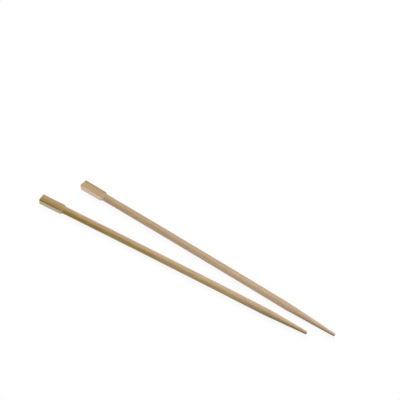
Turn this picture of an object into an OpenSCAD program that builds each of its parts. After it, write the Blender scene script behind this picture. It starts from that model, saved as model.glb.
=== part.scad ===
// A pair of single-use bamboo chopsticks, snapped apart and lying side by side.
// Each stick is one piece: a planed strip whose head stays square, turned round from the shoulder on
// and drawn to a blunt point. Lengths are in millimetres.

/* [Stick] */
// Length of each stick, head end to tip
stick_length = 210; // [180:1:240]
// Diameter of the round shaft
shaft_diameter = 5.15; // [4.6:0.05:5.8]
// How deep the planed faces of the strip cut into the round shaft, above and below
flat_depth = 0.3; // [0.1:0.05:0.4]

/* [Head] */
// Length of the square head, from its sawn end to where the shoulder starts
head_length = 16.7; // [12:0.1:24]
// Length of the sloped shoulder between the head's corners and the shaft
shoulder_length = 1.9; // [1:0.1:4]
// How much wider the head is than the shaft
head_margin = 0.45; // [0.4:0.05:1]
// How far the front stick's shaft lies off the middle of its head, away from the split side
front_shaft_offset = 0.15; // [0:0.05:0.15]
// Chamfer on the head's planed edges
edge_break = 0.15; // [0.1:0.05:0.4]

/* [Point] */
// Length of the front stick's point
front_point_length = 32; // [25:1:60]
// Length of the back stick's point
back_point_length = 38; // [25:1:60]
// Diameter of the front stick's blunt tip
front_tip_diameter = 2.3; // [1.8:0.05:3.5]
// Diameter of the back stick's blunt tip
back_tip_diameter = 2.05; // [1.8:0.05:3.5]
// Chamfer round the end of each tip
tip_break = 0.2; // [0.1:0.05:0.5]

/* [Lay] */
// Angle between the two sticks, which close up towards the tips
lay_angle = 4.7; // [1:0.1:10]
// Distance between the middles of the two tips, across the pair
tip_spacing = 8.7; // [6:0.1:30]
// How far the back stick lies ahead of the front one
lay_stagger = 16.5; // [0:0.1:40]

/* [Hidden] */
$fn = 96;

front_colour = [0.66, 0.56, 0.38];
back_colour = [0.72, 0.62, 0.49];

// How far a cutting shape runs past the wood that it cuts
over = 1;

// The strip that a stick is milled from
shaft_radius = shaft_diameter / 2;
strip_thickness = shaft_diameter - 2 * flat_depth;
head_width = shaft_diameter + head_margin;
corner_radius = norm([head_width, strip_thickness]) / 2;

// The shoulder cone, carried on outwards past the head's corners
shoulder_rise = corner_radius - shaft_radius;
cutter_radius = corner_radius + over;
cutter_start = head_length - over * shoulder_length / shoulder_rise;
shaft_start = head_length + shoulder_length;

// The point swells a little out of the shaft and is nearly straight from there on
point_steps = 10;
point_power = 1.05;

// The lay: each stick is turned by half the angle, and the pair's box is centred on the origin
half_angle = lay_angle / 2;
head_reach = (head_width / 2 - front_shaft_offset - edge_break) * sin(half_angle);
tip_reach = (back_tip_diameter / 2 - tip_break) * sin(half_angle);
pair_length = stick_length * cos(half_angle) + head_reach + lay_stagger + tip_reach;
front_tip_x = pair_length / 2 - tip_reach - lay_stagger;
back_tip_x = pair_length / 2 - tip_reach;
lay_shift = front_shaft_offset * cos(half_angle) / 2;

// Radius of the point, u running from 0 at the shaft to 1 at the tip
function point_radius(u, tip_radius) = shaft_radius - (shaft_radius - tip_radius) * pow(u, point_power);

// Half outline of everything that is turned about the stick's axis: [radius, distance from the head end]
function turned_outline(point_length, tip_radius) = let (point_end = stick_length - tip_break,
                                                         point_start = stick_length - point_length) concat(
    [[0, -over], [cutter_radius, -over], [cutter_radius, cutter_start], [shaft_radius, shaft_start]],
    [for (i = [0 : point_steps]) let (u = i / point_steps)
        [point_radius(u, tip_radius), point_start + u * (point_end - point_start)]],
    [[tip_radius - tip_break, stick_length], [0, stick_length]]);

// The turned envelope, lying along +X with its axis on X
module turned_envelope(point_length, tip_radius) {
    rotate([0, 90, 0])
        rotate_extrude()
            polygon(turned_outline(point_length, tip_radius));
}

// Section of the planed strip: the split edges on the -Y side are sharp, the other two are broken
module strip_section() {
    half_width = head_width / 2;
    half_thickness = strip_thickness / 2;
    polygon([
        [-half_width, -half_thickness],
        [half_width - edge_break, -half_thickness],
        [half_width, -half_thickness + edge_break],
        [half_width, half_thickness - edge_break],
        [half_width - edge_break, half_thickness],
        [-half_width, half_thickness]]);
}

// Outline of the strip along X, seen from above or from the side, with the corners of the sawn end broken
module broken_end_outline(width) {
    polygon([
        [0, -width / 2 + edge_break],
        [edge_break, -width / 2],
        [stick_length + over, -width / 2],
        [stick_length + over, width / 2],
        [edge_break, width / 2],
        [0, width / 2 - edge_break]]);
}

// The planed strip, centred on X
module strip() {
    intersection() {
        rotate([90, 0, 90])
            linear_extrude(stick_length + over)
                strip_section();
        linear_extrude(2 * strip_thickness, center = true)
            broken_end_outline(head_width);
        rotate([90, 0, 0])
            linear_extrude(2 * head_width, center = true)
                broken_end_outline(strip_thickness);
    }
}

// One stick along +X, head end at the origin, lying on the plane z = 0, with its shaft's axis over X
module chopstick(point_length, tip_diameter, shaft_offset) {
    translate([0, 0, strip_thickness / 2])
        intersection() {
            translate([0, -shaft_offset, 0])
                strip();
            turned_envelope(point_length, tip_diameter / 2);
        }
}

// Lays a stick so that its tip ends at the given point, turned by the given angle
module lay(tip_x, tip_y, turn) {
    translate([tip_x, tip_y, 0])
        rotate([0, 0, turn])
            translate([-stick_length, 0, 0])
                children();
}

module front_chopstick() {
    color(front_colour)
        lay(front_tip_x, lay_shift - tip_spacing / 2, half_angle)
            chopstick(front_point_length, front_tip_diameter, front_shaft_offset);
}

module back_chopstick() {
    color(back_colour)
        lay(back_tip_x, lay_shift + tip_spacing / 2, -half_angle)
            chopstick(back_point_length, back_tip_diameter, 0);
}

front_chopstick();
back_chopstick();
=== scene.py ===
import math
from types import SimpleNamespace

import bpy
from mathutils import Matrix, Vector


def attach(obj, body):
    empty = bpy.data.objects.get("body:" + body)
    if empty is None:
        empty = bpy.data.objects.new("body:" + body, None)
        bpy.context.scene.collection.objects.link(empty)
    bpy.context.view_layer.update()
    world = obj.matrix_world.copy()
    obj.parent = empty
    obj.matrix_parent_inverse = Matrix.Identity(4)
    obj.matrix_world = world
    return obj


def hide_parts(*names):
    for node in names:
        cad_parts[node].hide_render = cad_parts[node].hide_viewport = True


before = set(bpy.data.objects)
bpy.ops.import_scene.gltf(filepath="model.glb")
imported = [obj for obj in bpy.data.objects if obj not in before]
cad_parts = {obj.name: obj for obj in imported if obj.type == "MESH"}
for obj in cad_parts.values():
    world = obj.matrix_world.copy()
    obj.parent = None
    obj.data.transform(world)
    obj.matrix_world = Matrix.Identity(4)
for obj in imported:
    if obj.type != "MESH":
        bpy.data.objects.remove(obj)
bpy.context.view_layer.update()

# Sizes of the sticks in millimetres, the same as the solids have
MM = 0.001
STICK_LENGTH = 210.0
SHAFT_DIAMETER = 5.15
FLAT_DEPTH = 0.3
HEAD_LENGTH = 16.7
SHOULDER_LENGTH = 1.9
HEAD_MARGIN = 0.45
SHAFT_OFFSETS = {"front": 0.15, "back": 0.0}
EDGE_BREAK = 0.15
TIP_DIAMETERS = {"front": 2.3, "back": 2.05}
TIP_BREAK = 0.2
POINT_POWER = 1.05
POINT_LENGTHS = {"front": 32.0, "back": 38.0}
LAY_ANGLE = 4.7
TIP_SPACING = 8.7
LAY_STAGGER = 16.5

# What follows from those sizes
HEAD_WIDTH = SHAFT_DIAMETER + HEAD_MARGIN
STRIP_THICKNESS = SHAFT_DIAMETER - 2 * FLAT_DEPTH
CORNER_RADIUS = math.hypot(HEAD_WIDTH, STRIP_THICKNESS) / 2
SHAFT_START = HEAD_LENGTH + SHOULDER_LENGTH
HALF_TURN = math.radians(LAY_ANGLE / 2)

# How each stick differs from a perfect one, in millimetres, and the seed of its chance marks
# An end's skew is a slope: millimetres along the stick for each millimetre across it
CHARACTER = {
    "front": {"Torn start": 0.75, "Tip droop": 0.5, "Seed": 3},
    "back": {"Torn start": 0.2, "End skew": 0.1, "Shoulder skew": 0.35, "Seed": 8},
}


def head_end(side):
    """Where the middle of a stick's sawn end lies on the floor, in millimetres, and the stick's turn."""
    turn = HALF_TURN if side == "front" else -HALF_TURN
    stagger = LAY_STAGGER if side == "front" else 0.0
    head_reach = (HEAD_WIDTH / 2 - SHAFT_OFFSETS["front"] - EDGE_BREAK) * math.sin(HALF_TURN)
    tip_reach = (TIP_DIAMETERS["back"] / 2 - TIP_BREAK) * math.sin(HALF_TURN)
    pair_length = STICK_LENGTH * math.cos(HALF_TURN) + head_reach + LAY_STAGGER + tip_reach
    tip_x = pair_length / 2 - tip_reach - stagger
    tip_y = math.copysign(TIP_SPACING / 2, -turn) + SHAFT_OFFSETS["front"] * math.cos(HALF_TURN) / 2
    return (
        tip_x - STICK_LENGTH * math.cos(turn),
        tip_y - STICK_LENGTH * math.sin(turn),
        turn,
    )


# Node trees written as formulas

class Field:
    """A value in a node tree. Arithmetic on it adds Math nodes, so that a rule reads as a formula."""

    def __init__(self, tree, socket):
        self.tree = tree
        self.socket = socket

    def math(self, operation, *others):
        return formula(self.tree, operation, self, *others)

    def __add__(self, other):
        return self.math("ADD", other)

    def __mul__(self, other):
        return self.math("MULTIPLY", other)

    def __sub__(self, other):
        return self.math("SUBTRACT", other)

    def __rsub__(self, other):
        return formula(self.tree, "SUBTRACT", other, self)

    def __truediv__(self, other):
        return self.math("DIVIDE", other)

    def magnitude(self):
        return self.math("ABSOLUTE")

    def least(self, other):
        return self.math("MINIMUM", other)

    def most(self, other):
        return self.math("MAXIMUM", other)

    def soft_least(self, other, width):
        return self.math("SMOOTH_MIN", other, width)

    def soft_most(self, other, width):
        return self.math("SMOOTH_MAX", other, width)

    def below(self, limit):
        return self.math("LESS_THAN", limit)

    def above(self, limit):
        return self.math("GREATER_THAN", limit)

    def ramp(self, start, end, low=0.0, high=1.0, smooth=False):
        """Runs from low at start to high at end, and stays there outside them."""
        kind = "SMOOTHSTEP" if smooth else "LINEAR"
        return made(self.tree, "ShaderNodeMapRange", {
            "Value": self, "From Min": start, "From Max": end, "To Min": low, "To Max": high,
        }, output="Result", interpolation_type=kind, clamp=True)


def plug(tree, value, socket):
    """Links a field to a socket, or writes a plain value on it."""
    if isinstance(value, Field):
        tree.links.new(value.socket, socket)
    else:
        socket.default_value = value


def add_node(tree, kind, inputs=None, **settings):
    """Adds a node, with its settings and its inputs by name or by number."""
    node = tree.nodes.new(kind)
    for name, value in settings.items():
        setattr(node, name, value)
    for key, value in (inputs or {}).items():
        plug(tree, value, node.inputs[key])
    return node


def made(tree, kind, inputs=None, output=0, **settings):
    """Adds a node and gives one of its outputs as a field."""
    node = add_node(tree, kind, inputs, **settings)
    return Field(tree, node.outputs[output])


def formula(tree, operation, *values):
    return made(tree, "ShaderNodeMath", dict(enumerate(values)), operation=operation)


def vector(tree, x, y, z):
    return made(tree, "ShaderNodeCombineXYZ", {"X": x, "Y": y, "Z": z})


def parts_of(value):
    node = add_node(value.tree, "ShaderNodeSeparateXYZ", {0: value})
    return [Field(value.tree, socket) for socket in node.outputs]


def drawn_out(pattern, along, across, upward, shift=None):
    """A place in a pattern that runs along the stick, from its features per millimetre each way."""
    lengthwise, crosswise = pattern
    start = along * lengthwise
    if shift is not None:
        start = start + shift
    return vector(along.tree, start, across * crosswise, upward * crosswise)


def noise(place, detail=2.0, roughness=0.5):
    return made(place.tree, "ShaderNodeTexNoise", {
        "Vector": place, "Scale": 1.0, "Detail": detail, "Roughness": roughness,
    })


def cells(place, scale=1.0, output="Distance"):
    return made(place.tree, "ShaderNodeTexVoronoi", {"Vector": place, "Scale": scale}, output=output)


# The stick as a rule: a planed strip, turned round from the shoulder on

# The grid that becomes a stick's skin, and the share of its rows at which each zone of the stick ends
ROWS = 460
COLUMNS = 176
ROW_SHARES = {"end": 0.03, "head": 0.34, "shaft": 0.70, "point": 0.93, "tip": 0.97}
HEAD_ZONE = 20.0
POINT_ZONE = 46.0
TIP_ZONE = 1.0
SAME_PLACE = 0.001

# How softly two faces meet, in millimetres, and the least cosine that a length is divided by
SHARP_EDGE = 0.15
BROKEN_EDGE = 0.5
SHOULDER_FILLET = 0.25
TINY = 0.02

# Patterns in the wood's surface: features per millimetre along the stick and across it
RAGGED_LINE = (0.2, 0.8)
TORN_LANES = (0.07, 1.9)
TORN_RUFFLE = (0.5, 3.0)
DIAMETER_WAVER = (0.05, 0.7)
FIBRE_RIDGES = (0.03, 2.2)
SEED_STEP = 7.3

# Where the diameter's waver comes in along the stick, and how far into the head a skewed end reaches
WAVER_RISE = (SHAFT_START, HEAD_ZONE * 2)
SKEW_REACH = HEAD_LENGTH / 2

# The torn face: how far its ragged upper line strays, how it blends out, and what makes its depth
RAGGED_DEPTH = 0.6
TORN_BLUR = 0.08
SIDE_BLUR = (-0.05, 0.15)
CUT_BLUR = 0.1
END_BLUR = 0.004
LANE_SHARE = 0.6
RUFFLE_SHARE = 0.4

# The shoulder's cut: how deep it is where it shows in full, and where it runs out along the stick
CUT_DEPTH = 0.2
CUT_FADE = (SHAFT_START - 0.3, SHAFT_START + 0.4)

# Loose slivers on the torn face: the form of each one, and the ranges that chance picks from
SLIVER_SIDES = 5
SLIVER_SEGMENTS = 4
SLIVER_FLATNESS = 0.7
SLIVER_ROOT = 0.05
SLIVER_TILT = 0.06
SLIVER_LIFT = 0.09
SLIVER_STRETCH = (0.3, 1.0)
SLIVER_GIRTH = (0.5, 1.0)
LOOSE_LIMIT = 0.9
LOOSE_BLUR = 0.1
DRAW_STEP = 31.0

# The map for a stick's colours: the skin unrolled, with room for the sawn end's grain,
# and a strip beside it that all slivers share
MAP_NAME = "OFBake"
SKIN_STRIP = (0.0, 0.96)
SLIVER_STRIP = (0.97, 1.0)
END_ON_MAP = 0.12

# The tree's inputs: millimetres, apart from the end's slope, the turn in radians and the number of fibres
SIZE_INPUTS = {
    "Length": STICK_LENGTH,
    "Head length": HEAD_LENGTH,
    "Head width": HEAD_WIDTH,
    "Strip thickness": STRIP_THICKNESS,
    "Shaft diameter": SHAFT_DIAMETER,
    "Shoulder length": SHOULDER_LENGTH,
    "Shaft offset": 0.0,
    "Edge break": EDGE_BREAK,
    "Tip diameter": TIP_DIAMETERS["front"],
    "Tip break": TIP_BREAK,
    "Point length": POINT_LENGTHS["front"],
    "Tear depth": 0.4,
    "Torn start": 0.1,
    "Waver": 0.08,
    "Ridges": 0.08,
    "Sweep": 0.4,
    "Tip droop": 0.0,
    "End skew": 0.0,
    "Shoulder skew": 0.0,
    "Head end X": 0.0,
    "Head end Y": 0.0,
    "Turn": 0.0,
    "Fibres per square mm": 0.6,
    "Fibre length": 3.0,
    "Fibre margin": 3.3,
    "Fibre thickness": 0.1,
}


def stick_tree():
    """Geometry Nodes tree for one stick: its skin on a grid of rows and columns, and its torn fibres."""
    tree = bpy.data.node_groups.new("stick_from_strip", "GeometryNodeTree")
    size = add_inputs(tree)
    spot = grid_spot(tree, size)
    strip = planed_strip(spot, size)
    turned = turned_envelope(spot, size)
    torn = torn_face(spot, strip, turned, size)
    radius = stick_radius(spot, strip, turned, torn, size)

    flat = marked_grid(tree, spot, strip, turned, torn, size)
    laid = resting_place(tree, spot, strip, radius, size)
    shaped = made(tree, "GeometryNodeSetPosition", {"Geometry": flat, "Position": laid})
    skin = made(tree, "GeometryNodeMergeByDistance", {"Geometry": shaped, "Distance": SAME_PLACE * MM})
    fibres = torn_fibres(tree, skin, size)
    add_output(tree, skin, fibres, size["Bamboo"])
    return tree


def add_inputs(tree):
    """Gives the tree its named inputs, and returns them as fields by name."""
    for name, value in SIZE_INPUTS.items():
        socket = tree.interface.new_socket(name=name, in_out="INPUT", socket_type="NodeSocketFloat")
        socket.default_value = value
    tree.interface.new_socket(name="Seed", in_out="INPUT", socket_type="NodeSocketInt")
    tree.interface.new_socket(name="Bamboo", in_out="INPUT", socket_type="NodeSocketMaterial")
    given = tree.nodes.new("NodeGroupInput")
    return {socket.name: Field(tree, socket) for socket in given.outputs if socket.name}


def add_output(tree, skin, fibres, bamboo_input):
    """Joins the skin and its fibres into one real, smooth mesh of bamboo."""
    joined = tree.nodes.new("GeometryNodeJoinGeometry")
    tree.links.new(fibres.socket, joined.inputs[0])
    tree.links.new(skin.socket, joined.inputs[0])
    real = made(tree, "GeometryNodeRealizeInstances", {0: Field(tree, joined.outputs[0])})
    smooth = made(tree, "GeometryNodeSetShadeSmooth", {0: real})
    covered = made(tree, "GeometryNodeSetMaterial", {"Geometry": smooth, "Material": bamboo_input})
    tree.interface.new_socket(name="Geometry", in_out="OUTPUT", socket_type="NodeSocketGeometry")
    result = tree.nodes.new("NodeGroupOutput")
    plug(tree, covered, result.inputs[0])


def grid_spot(tree, size):
    """Where a point of the flat grid goes on the stick: how far along it, and which way from its axis."""
    # The grid is 1 by 1 and centred on the origin. Its rows run along the stick and its columns round it,
    # backwards, so that the faces point outwards.
    grid_x, grid_y, _ = parts_of(made(tree, "GeometryNodeInputPosition"))
    row = grid_x + 0.5
    column = grid_y + 0.5
    angle = column * -math.tau

    # Rows: the sawn end's disc, the head and shoulder, the shaft, the point, the tip and the tip's disc
    share = ROW_SHARES
    shaft_zone = size["Length"] - (HEAD_ZONE + POINT_ZONE + TIP_ZONE)
    along = (
        row.ramp(share["end"], share["head"], 0.0, HEAD_ZONE)
        + row.ramp(share["head"], share["shaft"]) * shaft_zone
        + row.ramp(share["shaft"], share["point"], 0.0, POINT_ZONE)
        + row.ramp(share["point"], share["tip"], 0.0, TIP_ZONE)
    )
    inward = row.ramp(0.0, share["end"], 1.0, 0.0) + row.ramp(share["tip"], 1.0)
    return SimpleNamespace(
        row=row,
        column=column,
        along=along,
        across=angle.math("COSINE"),
        upward=angle.math("SINE"),
        disc=1.0 - inward * inward,
        into_point=along.ramp(size["Length"] - size["Point length"], size["Length"] - size["Tip break"]),
        chance=size["Seed"] * SEED_STEP,
    )


def planed_strip(spot, size):
    """Section of the planed strip about the shaft's axis, with its split side towards -Y."""
    split_side = spot.across.below(0.0)
    half_width = size["Head width"] / 2
    half_thickness = size["Strip thickness"] / 2
    split_reach = half_width + size["Shaft offset"]
    outer_reach = half_width - size["Shaft offset"]
    side_reach = outer_reach + split_side * (split_reach - outer_reach)
    side_radius = side_reach / spot.across.magnitude().most(TINY)
    planed_radius = half_thickness / spot.upward.magnitude().most(TINY)
    edge = split_side * (SHARP_EDGE - BROKEN_EDGE) + BROKEN_EDGE
    return SimpleNamespace(
        split_side=split_side,
        split_reach=split_reach,
        half_thickness=half_thickness,
        onto_side=planed_radius - side_radius,
        radius=side_radius.soft_least(planed_radius, edge),
    )


def turned_envelope(spot, size):
    """Radius of what is turned about the axis: shoulder cone, shaft, point and blunt tip."""
    shaft_radius = size["Shaft diameter"] / 2
    tip_radius = size["Tip diameter"] / 2
    shaft_start = size["Head length"] + size["Shoulder length"] + size["Shoulder skew"] * spot.across
    shoulder_rise = CORNER_RADIUS - shaft_radius
    cone = shaft_radius + shoulder_rise * (shaft_start - spot.along) / size["Shoulder length"]
    taper = spot.into_point.math("POWER", POINT_POWER)
    turned = cone.soft_most(shaft_radius, SHOULDER_FILLET) - (shaft_radius - tip_radius) * taper
    tip_chamfer = tip_radius - size["Tip break"] + size["Length"] - spot.along
    return turned.least(tip_chamfer)


def torn_face(spot, strip, turned, size):
    """The split side below a ragged line, up to where the shoulder cuts it: a mark for it and its depth."""
    height = strip.split_reach * spot.upward / spot.across.magnitude().most(TINY)
    height = height.most(strip.half_thickness * -1.0).least(strip.half_thickness)

    def on_face(pattern):
        return drawn_out(pattern, spot.along, height, 0.0, spot.chance)

    ragged = noise(on_face(RAGGED_LINE), detail=4.0, roughness=0.7) - 0.5
    top = strip.half_thickness - size["Torn start"] - ragged * RAGGED_DEPTH
    on_side = strip.onto_side.ramp(*SIDE_BLUR, smooth=True)
    uncut = (turned - strip.radius).ramp(-CUT_BLUR, CUT_BLUR, smooth=True)
    below_top = (top - height).ramp(-TORN_BLUR, TORN_BLUR, smooth=True)
    off_end = spot.row.ramp(ROW_SHARES["end"], ROW_SHARES["end"] + END_BLUR)

    lane, _, _ = parts_of(cells(on_face(TORN_LANES), output="Color"))
    ruffle = noise(on_face(TORN_RUFFLE), detail=3.0)
    return SimpleNamespace(
        mark=strip.split_side * on_side * uncut * below_top * off_end,
        depth=lane * lane * LANE_SHARE + ruffle * ruffle * RUFFLE_SHARE,
    )


def stick_radius(spot, strip, turned, torn, size):
    """How far the wood reaches from the axis, with its chance unevenness, down to nothing at both ends."""
    tear = size["Tear depth"] * torn.depth * torn.mark
    radius = (strip.radius - tear).soft_least(turned, SHARP_EDGE)
    radius = radius - (size["Edge break"] - spot.along).most(0.0)
    waver = noise(drawn_out(DIAMETER_WAVER, spot.along, spot.across, spot.upward, spot.chance))
    radius = radius + size["Waver"] * (waver - 0.5) * spot.along.ramp(*WAVER_RISE)
    skin_y = radius * spot.across
    skin_z = radius * spot.upward
    ridges = noise(drawn_out(FIBRE_RIDGES, spot.along, skin_y, skin_z, spot.chance))
    return (radius + size["Ridges"] * (ridges - 0.5)) * spot.disc


def marked_grid(tree, spot, strip, turned, torn, size):
    """The flat grid, with its own map, and with marks on it for the material and for the fibres."""
    margin = size["Fibre margin"]
    off_end = spot.along.ramp(margin, margin + LOOSE_BLUR)
    off_shoulder = (size["Head length"] - spot.along).ramp(margin, margin + LOOSE_BLUR)
    cut = (strip.radius - turned).ramp(0.0, CUT_DEPTH, smooth=True)
    marks = {
        "torn": torn.mark,
        "loose": torn.mark * (off_end * off_shoulder),
        "cut": cut * spot.along.ramp(*CUT_FADE, 1.0, 0.0),
        "torn_lanes": torn.depth * torn.mark,
    }
    grid = made(tree, "GeometryNodeMeshGrid", {
        "Size X": 1.0, "Size Y": 1.0, "Vertices X": ROWS, "Vertices Y": COLUMNS + 1,
    }, output="Mesh")
    for name, value in marks.items():
        grid = store(tree, grid, name, value)
    end = ROW_SHARES["end"]
    unrolled = spot.row.ramp(0.0, end, 0.0, END_ON_MAP) + spot.row.ramp(end, 1.0, 0.0, 1.0 - END_ON_MAP)
    return store_map(grid, spot.column, unrolled, SKIN_STRIP)


def store(tree, geometry, name, value):
    return made(tree, "GeometryNodeStoreNamedAttribute", {
        "Geometry": geometry, "Name": name, "Value": value,
    }, data_type="FLOAT", domain="POINT")


def store_map(mesh, across, upward, strip):
    """Gives each corner of a mesh its place in a strip of the map, from two values that run from 0 to 1."""
    place = vector(mesh.tree, across.ramp(0.0, 1.0, *strip), upward, 0.0)
    return made(mesh.tree, "GeometryNodeStoreNamedAttribute", {
        "Geometry": mesh, "Name": MAP_NAME, "Value": place,
    }, data_type="FLOAT2", domain="CORNER")


def resting_place(tree, spot, strip, radius, size):
    """Where a point of the skin lies in the frame, in metres, with the stick's bends and its skewed end."""
    # The bow is as high as the sweep in the middle of the stick, and nothing at both ends
    part_way = spot.along / size["Length"]
    swept = size["Sweep"] * 4.0 * part_way * (1.0 - part_way)
    drooped = size["Tip droop"] * spot.into_point * spot.into_point
    skewed = size["End skew"] * spot.across * radius
    local = vector(
        tree,
        spot.along + skewed * spot.along.ramp(0.0, SKEW_REACH, 1.0, 0.0),
        radius * spot.across + swept,
        radius * spot.upward + strip.half_thickness - drooped,
    )
    turned = made(tree, "ShaderNodeVectorRotate", {
        "Vector": local, "Angle": size["Turn"],
    }, rotation_type="Z_AXIS")
    x, y, z = parts_of(turned)
    return vector(tree, (x + size["Head end X"]) * MM, (y + size["Head end Y"]) * MM, z * MM)


def torn_fibres(tree, skin, size):
    """Loose slivers that stand a little off the torn face, along the stick and either way round."""
    loose = made(tree, "GeometryNodeInputNamedAttribute", {"Name": "loose"}, data_type="FLOAT")
    points = add_node(tree, "GeometryNodeDistributePointsOnFaces", {
        "Mesh": skin,
        "Selection": loose.above(LOOSE_LIMIT),
        "Density": size["Fibres per square mm"] / (MM * MM),
        "Seed": size["Seed"],
    }, distribute_method="RANDOM")
    into_wood = made(tree, "ShaderNodeVectorMath", {
        0: Field(tree, points.outputs["Normal"]), "Scale": SLIVER_ROOT * -MM,
    }, operation="SCALE")
    rooted = made(tree, "GeometryNodeSetPosition", {
        "Geometry": Field(tree, points.outputs["Points"]), "Offset": into_wood,
    })
    cone = add_node(tree, "GeometryNodeMeshCone", {
        "Vertices": SLIVER_SIDES,
        "Side Segments": SLIVER_SEGMENTS,
        "Radius Top": 0.0,
        "Radius Bottom": size["Fibre thickness"] * (MM / 2),
        "Depth": size["Fibre length"] * MM,
    })
    flat_across, flat_upward, _ = parts_of(Field(tree, cone.outputs["UV Map"]))
    sliver = store_map(Field(tree, cone.outputs["Mesh"]), flat_across, flat_upward, SLIVER_STRIP)

    # The thin end of a sliver is lifted off the face by a few degrees, whichever way round it lies
    backward = random_value(size["Seed"], 1, 0.0, 1.0).math("ROUND")
    tilt = random_value(size["Seed"], 2, -SLIVER_TILT, SLIVER_TILT)
    lift = random_value(size["Seed"], 3, 0.0, SLIVER_LIFT) * (backward * 2.0 - 1.0)
    stretch = random_value(size["Seed"], 4, *SLIVER_STRETCH)
    girth = random_value(size["Seed"], 5, *SLIVER_GIRTH)
    return made(tree, "GeometryNodeInstanceOnPoints", {
        "Points": rooted,
        "Instance": store(tree, sliver, "torn", 1.0),
        "Rotation": vector(tree, 0.0, backward * math.pi + tilt + math.pi / 2, size["Turn"] + lift),
        "Scale": vector(tree, girth, girth * SLIVER_FLATNESS, stretch),
    })


def random_value(seed, draw, low, high):
    """A number between low and high for each point. Each draw has a number of its own."""
    node = add_node(seed.tree, "FunctionNodeRandomValue", data_type="FLOAT")
    limits = [socket for socket in node.inputs if socket.type == "VALUE" and socket.enabled]
    limits[0].default_value = low
    limits[1].default_value = high
    plug(seed.tree, seed + draw * DRAW_STEP, node.inputs["Seed"])
    result = next(socket for socket in node.outputs if socket.enabled)
    return Field(seed.tree, result)


# Bamboo: a solid texture in each stick's own millimetres, so that end grain, faces and points agree

def colour(red, green, blue):
    """A colour as it looks on a screen, 0 to 255, as the linear value that a shader takes."""
    def linear(value):
        part = value / 255
        return part / 12.92 if part <= 0.04045 else ((part + 0.055) / 1.055) ** 2.4
    return (linear(red), linear(green), linear(blue), 1.0)


# A palette gives the colours of the inner wood, the pith, and of the wood towards the skin, at head and tip.
# Paling is a power: below 1 the wood pales faster near the head than near the tip.
# The skin lay in a direction (across, upward), and skin and rind come in over a range of depths that way.
# Streaks, a band of painted shade along the upper front and the fresh colour of the shoulder's cut have a
# strength.
# The painted light bounced up onto the lower flank and the underside is a factor on red, green and blue.
# The underside's painted light runs out, and painted shade darkens the lower side towards the tip, over a
# range in millimetres.
# A fleck has its place in the stick: along, across and upward.
PALETTES = {
    "front": {
        "pith_head": colour(174, 143, 99),
        "pith_tip": colour(202, 176, 143),
        "skin_head": colour(130, 107, 28),
        "skin_tip": colour(174, 150, 110),
        "rind": colour(128, 104, 20),
        "torn": colour(202, 189, 167),
        "paling": 0.78,
        "skin_towards": (-1.0, 0.25),
        "skin_range": (-0.1, 1.15),
        "rind_range": (0.95, 1.2),
        "streak": 0.15,
        "front_band_painted_shade": 0.0,
        "cut_share": 0.3,
        "flank_painted_light": (1.0, 1.0, 1.02),
        "underside_painted_light": (1.2, 1.3, 1.6),
        "underside_painted_light_range": (100.0, 140.0),
        "tip_painted_shade": 0.36,
        "tip_painted_shade_range": (150.0, 185.0),
        "fleck": None,
    },
    "back": {
        "pith_head": colour(180, 152, 116),
        "pith_tip": colour(201, 175, 144),
        "skin_head": colour(177, 151, 117),
        "skin_tip": colour(194, 168, 134),
        "rind": colour(158, 133, 94),
        "torn": colour(238, 221, 196),
        "paling": 1.0,
        "skin_towards": (1.0, 0.1),
        "skin_range": (0.45, 0.9),
        "rind_range": (0.55, 0.85),
        "streak": 0.1,
        "front_band_painted_shade": 0.07,
        "cut_share": 0.5,
        "flank_painted_light": (1.045, 1.075, 1.15),
        "underside_painted_light": (0.93, 0.99, 1.0),
        "underside_painted_light_range": (190.0, 205.0),
        "tip_painted_shade": 0.65,
        "tip_painted_shade_range": (165.0, 206.0),
        "fleck": (19.3, -1.7, 1.95),
    },
}

# Patterns in the wood's colour: features per millimetre along the stick and across it
FIBRE_SWAY = (0.02, 0.2)
BUNDLES = (0.011, 1.0)
BUNDLE_CELLS = 2.1
FINE_FIBRES = (0.05, 6.0)
BLOTCHES = (0.035, 0.35)
STREAKS = (0.12, 1.4)
STRAW_PATCHES = (0.3, 1.3)
FLUSH_PATCHES = (0.3, 1.1)
FLUSH_SHIFT = 50.0
RAW_LANES = (0.1, 3.0)

# A noise stays mostly between these, so they stand for its lowest and its highest value
NOISE_RANGE = (0.25, 0.75)

# How far the fibres wander across and upwards in millimetres, and how thick the bundles are, pith to skin
SWAY_ACROSS = 0.5
SWAY_UPWARD = 0.4
BUNDLE_RADII = (0.22, 0.36)
BUNDLE_BLUR = (-0.05, 0.07)

# How strongly each pattern shows
FINE_CONTRAST = (0.84, 1.16)
BUNDLE_TINT = (0.72, 0.66, 0.56)
BUNDLE_SHARE = 0.55
BLOTCH_SHARE = 0.5
RIND_SHARE = 0.7
STRAW_BLUE = 0.5
FLUSH_RED = 0.2
FLUSH_GREEN = 0.06

# The lower front and the upper front of a shaft (across, upward), and where each band of painted light and
# shade there starts and ends
# The bands come in past the shoulder. Nearer the axis than the least reach, that reach is what counts.
LOWER_FRONT = (-0.6, -0.8)
UPPER_FRONT = (-0.34, 0.94)
LOWER_SIDE = (-0.45, 0.15)
FLANK_RISE = (-0.5, 0.0)
FLANK_FALL = (0.1, 0.5)
UNDERSIDE = (0.1, 0.7)
PAINTED_SHADE_BAND = (0.8, 1.0)
SHOULDER_BLEND = 2.0
LEAST_REACH = 1.0

# The tip's painted shade takes a little more blue than red, and the lower side is painted cooler near the
# head, as cool light from below
SHADE_BLUE = 1.08
COOL_FADE = 1.2
COOL_GREEN = 0.02
COOL_BLUE = 0.14

# The share of the cut's fresh look that is left on the side of the shoulder away from the split
FAR_CUT_SHARE = 0.2

# The fleck's reach in millimetres, how bright its middle is, and the factor on lengths that draws it out
FLECK_REACH = (0.05, 0.45)
FLECK_BRIGHTNESS = 0.55
FLECK_SQUEEZE = 0.7

# The raw torn wood: its lanes, and the light on its ridges and in its hollows
RAW_CONTRAST = (0.9, 1.08)
RAW_HOLLOW = 0.5
RAW_SHADE = (1.1, 0.84)

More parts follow.
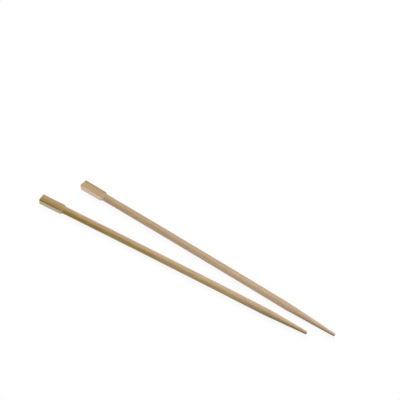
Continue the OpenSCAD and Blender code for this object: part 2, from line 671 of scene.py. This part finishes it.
# Sheen and relief
FINE_SHEEN_RANGE = (0.3, 0.7)
ROUGHNESS = (0.5, 0.66)
TORN_ROUGHNESS = 0.25
SPECULAR_LEVEL = 0.15
FINE_RELIEF = 0.6
BUNDLE_RELIEF = 0.25
LANE_RELIEF = 0.8
BUMP_STRENGTH = 0.35
BUMP_HEIGHT = 0.12


def bamboo(side):
    """Milled bamboo for one stick: fibre bundles and fine fibres, olive or ochre towards the skin."""
    palette = PALETTES[side]
    material = bpy.data.materials.new("bamboo_" + side)
    material.use_nodes = True
    tree = material.node_tree
    spot = wood_spot(tree, side)
    grain = fibre_grain(spot)

    wood = milled_wood(spot, palette)
    # Painted light and shade on the shaft's lower side and upper front
    wood = with_painted_light_and_shade(spot, wood, palette)
    wood = with_grain(spot, grain, wood, palette)
    wood = with_cut_and_fleck(spot, wood, palette)
    raw = raw_wood(spot, grain, palette)

    shader = tree.nodes["Principled BSDF"]
    plug(tree, mixed(spot.torn, wood, raw), shader.inputs["Base Color"])
    sheen = grain.fine.ramp(*FINE_SHEEN_RANGE, *ROUGHNESS)
    plug(tree, sheen + spot.torn * TORN_ROUGHNESS, shader.inputs["Roughness"])
    shader.inputs["Specular IOR Level"].default_value = SPECULAR_LEVEL
    relief = grain.fine * FINE_RELIEF + grain.bundles * BUNDLE_RELIEF + grain.lanes * spot.torn * LANE_RELIEF
    bump = made(tree, "ShaderNodeBump", {
        "Height": relief, "Strength": BUMP_STRENGTH, "Distance": BUMP_HEIGHT * MM,
    })
    plug(tree, bump, shader.inputs["Normal"])
    return material


def wood_spot(tree, side):
    """A point's place in its stick, in millimetres from the middle of the sawn end, and what follows."""
    palette = PALETTES[side]
    x, y, turn = head_end(side)
    place = made(tree, "ShaderNodeTexCoord", output="Object")
    mapped = made(tree, "ShaderNodeMapping", {
        "Vector": place,
        "Location": (x * MM, y * MM, STRIP_THICKNESS / 2 * MM),
        "Rotation": (0.0, 0.0, turn),
        "Scale": (MM, MM, MM),
    }, vector_type="TEXTURE")
    along, across, upward = parts_of(mapped)

    # Fibres wander a little as they run along the stick
    sway = noise(drawn_out(FIBRE_SWAY, along, across, upward), detail=1.0) - 0.5

    # A place in the head is measured against the head's half width, and one in the shaft against its radius
    half_head = HEAD_WIDTH / 2
    round_reach = (across * across + upward * upward).math("SQRT").most(LEAST_REACH).least(half_head)
    past_shoulder = along.ramp(HEAD_LENGTH, SHAFT_START + SHOULDER_BLEND, smooth=True)
    spot = SimpleNamespace(
        tree=tree,
        along=along,
        across=across,
        upward=upward,
        fibre_y=across + sway * SWAY_ACROSS,
        fibre_z=upward - sway * SWAY_UPWARD,
        past_shoulder=past_shoulder,
        reach=(round_reach - half_head) * past_shoulder + half_head,
        down_stick=along.ramp(0.0, STICK_LENGTH).math("POWER", palette["paling"]),
        torn=attribute(tree, "torn"),
    )
    spot.depth = towards(spot, palette["skin_towards"])
    return spot


def attribute(tree, name):
    return made(tree, "ShaderNodeAttribute", output="Fac", attribute_name=name)


def towards(spot, direction):
    """How far a place lies from the axis in a direction (across, upward): 1 on the shaft's surface there."""
    across_part, upward_part = direction
    return (spot.across * across_part + spot.upward * upward_part) / spot.reach


def fibre_grain(spot):
    """Fibre bundles, thicker towards the skin, fine fibres between them, patches and lanes of torn wood."""
    def fibres(pattern):
        return drawn_out(pattern, spot.along, spot.fibre_y, spot.fibre_z)

    bundle_radius = spot.depth.ramp(-1.0, 1.0, *BUNDLE_RADII)
    return SimpleNamespace(
        bundles=(bundle_radius - cells(fibres(BUNDLES), BUNDLE_CELLS)).ramp(*BUNDLE_BLUR, smooth=True),
        fine=noise(fibres(FINE_FIBRES), detail=4.0, roughness=0.65),
        streaks=noise(fibres(STREAKS)),
        straw=noise(fibres(STRAW_PATCHES)) - 0.5,
        flush=noise(drawn_out(FLUSH_PATCHES, spot.along, spot.fibre_y, spot.fibre_z, FLUSH_SHIFT)) - 0.5,
        lanes=noise(fibres(RAW_LANES), detail=3.0),
    )


def milled_wood(spot, palette):
    """Darker and stronger in colour at the head and towards the skin, paler towards the tip and the pith."""
    pith = mixed(spot.down_stick, palette["pith_head"], palette["pith_tip"])
    skin = mixed(spot.down_stick, palette["skin_head"], palette["skin_tip"])
    blotches = noise(drawn_out(BLOTCHES, spot.along, spot.across, spot.upward)) - 0.5
    towards_skin = (spot.depth + blotches * BLOTCH_SHARE).ramp(*palette["skin_range"])
    rind = spot.depth.ramp(*palette["rind_range"], smooth=True) * (1.0 - spot.down_stick) * RIND_SHARE
    return mixed(rind, mixed(towards_skin, pith, skin), palette["rind"])


def with_painted_light_and_shade(spot, wood, palette):
    """Painted light and shade on the shaft: painted shade on the lower side towards the tip, painted cool
    light on it near the head, painted light on the lower flank and the underside, and a band of painted
    shade on the upper front.
    """
    lowness = towards(spot, LOWER_FRONT)
    lower_side = lowness.ramp(*LOWER_SIDE) * spot.past_shoulder
    # Painted shade: the lower side darkens towards the tip
    shade = lower_side * spot.along.ramp(*palette["tip_painted_shade_range"]) * palette["tip_painted_shade"]
    wood = tinted(wood, vector(spot.tree, 1.0 - shade, 1.0 - shade, 1.0 - shade * SHADE_BLUE))
    # Painted cool light: the lower side is bluer near the head, as light bounced up from below
    painted_cool_light = lower_side * (1.0 - spot.down_stick * COOL_FADE)
    wood = tinted(wood, vector(spot.tree, 1.0, painted_cool_light * COOL_GREEN + 1.0, painted_cool_light * COOL_BLUE + 1.0))

    # Painted light bounced up from the floor, on the lower flank and on the underside
    flank = lowness.ramp(*FLANK_RISE) * lowness.ramp(*FLANK_FALL, 1.0, 0.0) * spot.past_shoulder
    wood = mixed(flank, wood, tinted(wood, palette["flank_painted_light"]))
    before_tip = spot.along.ramp(*palette["underside_painted_light_range"], 1.0, 0.0)
    underside = lowness.ramp(*UNDERSIDE) * spot.past_shoulder * before_tip
    wood = mixed(underside, wood, tinted(wood, palette["underside_painted_light"]))

    # Painted shade: a darker band along the upper front
    upper_front = towards(spot, UPPER_FRONT).ramp(*PAINTED_SHADE_BAND, smooth=True) * spot.past_shoulder
    return scaled(wood, 1.0 - upper_front * palette["front_band_painted_shade"])


def with_grain(spot, grain, wood, palette):
    """Fine fibres, streaks and bundles, and warmer and cooler patches."""
    streak = palette["streak"]
    fine = grain.fine.ramp(*NOISE_RANGE, *FINE_CONTRAST)
    streaks = grain.streaks.ramp(*NOISE_RANGE, 1.0 - streak, 1.0 + streak)
    wood = scaled(wood, fine * streaks)
    wood = mixed(grain.bundles * BUNDLE_SHARE, wood, tinted(wood, BUNDLE_TINT))
    red = grain.flush * FLUSH_RED + 1.0
    green = 1.0 - grain.flush * FLUSH_GREEN
    blue = grain.straw * STRAW_BLUE + 1.0
    return tinted(wood, vector(spot.tree, red, green, blue))


def with_cut_and_fleck(spot, wood, palette):
    """The shoulder's cut, which is freshest on the split side, and a dark fleck where the stick has one."""
    fresh = spot.across.ramp(-1.0, 1.0, 1.0, FAR_CUT_SHARE, smooth=True) * palette["cut_share"]
    wood = mixed(attribute(spot.tree, "cut") * fresh, wood, palette["torn"])
    if palette["fleck"] is None:
        return wood
    fleck_along, fleck_across, fleck_upward = palette["fleck"]
    off_fleck = vector(
        spot.tree,
        (spot.along - fleck_along) * FLECK_SQUEEZE,
        spot.across - fleck_across,
        spot.upward - fleck_upward,
    )
    away = made(spot.tree, "ShaderNodeVectorMath", {0: off_fleck}, output="Value", operation="LENGTH")
    return scaled(wood, away.ramp(*FLECK_REACH, FLECK_BRIGHTNESS, 1.0, smooth=True))


def raw_wood(spot, grain, palette):
    """The pale wood of the torn face, with painted light on its ridges and painted shade in its hollows."""
    lanes = grain.lanes.ramp(*NOISE_RANGE, *RAW_CONTRAST)
    # Painted shade: the torn face is darker where the tear is deeper
    hollows = attribute(spot.tree, "torn_lanes").ramp(0.0, RAW_HOLLOW, *RAW_SHADE)
    shade = lanes * hollows
    return made(spot.tree, "ShaderNodeVectorMath", {
        0: palette["torn"][:3], "Scale": shade,
    }, operation="SCALE")


def mixed(share, first, second):
    """The first colour, with a share of the second in it."""
    # The sockets go by number, because a Mix node has others of the same names for other kinds of value
    node = add_node(share.tree, "ShaderNodeMix", data_type="RGBA", blend_type="MIX")
    plug(share.tree, share, node.inputs[0])
    plug(share.tree, first, node.inputs[6])
    plug(share.tree, second, node.inputs[7])
    return Field(share.tree, node.outputs[2])


def scaled(wood, amount):
    return made(wood.tree, "ShaderNodeVectorMath", {0: wood, "Scale": amount}, operation="SCALE")


def tinted(wood, factors):
    return made(wood.tree, "ShaderNodeVectorMath", {0: wood, 1: factors}, operation="MULTIPLY")


# The two sticks, each in the place of its solid

def make_stick(side, tree):
    """One stick, from the tree that all sticks share and the values of its side."""
    x, y, turn = head_end(side)
    mesh = mesh_from_rule(side, tree, {
        "Head end X": x,
        "Head end Y": y,
        "Turn": turn,
        "Point length": POINT_LENGTHS[side],
        "Tip diameter": TIP_DIAMETERS[side],
        "Shaft offset": SHAFT_OFFSETS[side],
        "Bamboo": bamboo(side),
        **CHARACTER[side],
    })
    stick = bpy.data.objects.new(side + "_stick", mesh)
    bpy.context.scene.collection.objects.link(stick)
    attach(stick, "root")
    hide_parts(side + "_chopstick")


def mesh_from_rule(side, tree, values):
    """Runs the tree with a stick's own values and returns what it makes as a plain mesh."""
    holder = bpy.data.objects.new(side + "_rule", bpy.data.meshes.new(side + "_rule"))
    bpy.context.scene.collection.objects.link(holder)
    modifier = holder.modifiers.new("stick", "NODES")
    modifier.node_group = tree
    for socket in tree.interface.items_tree:
        if socket.in_out == "INPUT" and socket.name in values:
            modifier[socket.identifier] = values[socket.name]
    graph = bpy.context.evaluated_depsgraph_get()
    mesh = bpy.data.meshes.new_from_object(holder.evaluated_get(graph))
    holder.modifiers.remove(modifier)
    bpy.data.objects.remove(holder)
    return mesh


stick_rule = stick_tree()
make_stick("front", stick_rule)
make_stick("back", stick_rule)


# Floor, light and camera, in metres and watts

WHITE = (1.0, 1.0, 1.0, 1.0)
FLOOR_HALF = 4.0
FLOOR_PAINT = (0.97, 0.97, 0.97, 1.0)
FLOOR_WASH = 0.88
AMBIENT = 0.62
SOFTBOXES = {
    "overhead": {"place": (-0.3, 0.75, 1.1), "width": 0.9, "watts": 9.8},
    "front_fill": {"place": (0.3, -0.9, 0.45), "width": 0.8, "watts": 1.3},
}
CAMERA_AZIMUTH = math.radians(34.13)
CAMERA_ELEVATION = math.radians(53.0)
CAMERA_DISTANCE = 2.0
CAMERA_TARGET = Vector((-0.0239, 0.0484, 0.0))
CAMERA_FAR = 20.0
PIXELS_PER_MM = 1.4623
IMAGE_WIDTH = 400
SENSOR_WIDTH = 36.0


def in_view(tree):
    """1 for what the camera sees, straight on or mirrored in something glossy, and 0 for plain light."""
    path = tree.nodes.new("ShaderNodeLightPath")
    rays = [Field(tree, path.outputs["Is %s Ray" % kind]) for kind in ("Camera", "Glossy", "Transmission")]
    return rays[0].most(rays[1]).most(rays[2])


def add_floor():
    """A wide pale floor. Seen by the camera it is washed towards white, and it keeps the sticks' shadow."""
    mesh = bpy.data.meshes.new("floor")
    half = FLOOR_HALF
    corners = [(-half, -half, 0), (half, -half, 0), (half, half, 0), (-half, half, 0)]
    mesh.from_pydata(corners, [], [(0, 1, 2, 3)])
    floor = bpy.data.objects.new("floor", mesh)
    bpy.context.scene.collection.objects.link(floor)
    material = bpy.data.materials.new("pale_floor")
    material.use_nodes = True
    tree = material.node_tree
    tree.nodes.clear()
    paint = made(tree, "ShaderNodeBsdfDiffuse", {"Color": FLOOR_PAINT})
    white = made(tree, "ShaderNodeEmission", {"Color": WHITE, "Strength": 1.0})
    washed = made(tree, "ShaderNodeMixShader", {0: in_view(tree) * FLOOR_WASH, 1: paint, 2: white})
    result = tree.nodes.new("ShaderNodeOutputMaterial")
    plug(tree, washed, result.inputs["Surface"])
    mesh.materials.append(material)


def add_world():
    """Even white surroundings: soft light all round, and white where the camera looks past the floor."""
    world = bpy.data.worlds.new("studio")
    bpy.context.scene.world = world
    world.use_nodes = True
    tree = world.node_tree
    background = tree.nodes["Background"]
    background.inputs["Color"].default_value = WHITE
    plug(tree, in_view(tree) * (1.0 - AMBIENT) + AMBIENT, background.inputs["Strength"])


def add_softbox(name, place, width, watts):
    """A square soft light that faces the middle of the pair."""
    light = bpy.data.lights.new(name, "AREA")
    light.shape = "SQUARE"
    light.size = width
    light.energy = watts
    lamp = bpy.data.objects.new(name, light)
    lamp.location = place
    lamp.rotation_euler = (-Vector(place)).to_track_quat("-Z", "Y").to_euler()
    bpy.context.scene.collection.objects.link(lamp)


def add_camera():
    """A long lens at the photograph's angle, with the photograph's scale at the middle of the pair."""
    data = bpy.data.cameras.new("camera")
    data.sensor_width = SENSOR_WIDTH
    focal_pixels = PIXELS_PER_MM * CAMERA_DISTANCE / MM
    data.lens = SENSOR_WIDTH * focal_pixels / IMAGE_WIDTH
    data.clip_end = CAMERA_FAR
    camera = bpy.data.objects.new("camera", data)
    level = math.cos(CAMERA_ELEVATION)
    towards_camera = Vector((
        math.sin(CAMERA_AZIMUTH) * level,
        -math.cos(CAMERA_AZIMUTH) * level,
        math.sin(CAMERA_ELEVATION),
    ))
    camera.location = CAMERA_TARGET + towards_camera * CAMERA_DISTANCE
    camera.rotation_euler = (-towards_camera).to_track_quat("-Z", "Y").to_euler()
    bpy.context.scene.collection.objects.link(camera)
    bpy.context.scene.camera = camera


add_floor()
add_world()
for softbox, setting in SOFTBOXES.items():
    add_softbox(softbox, **setting)
add_camera()
bpy.context.scene.view_settings.view_transform = "Standard"
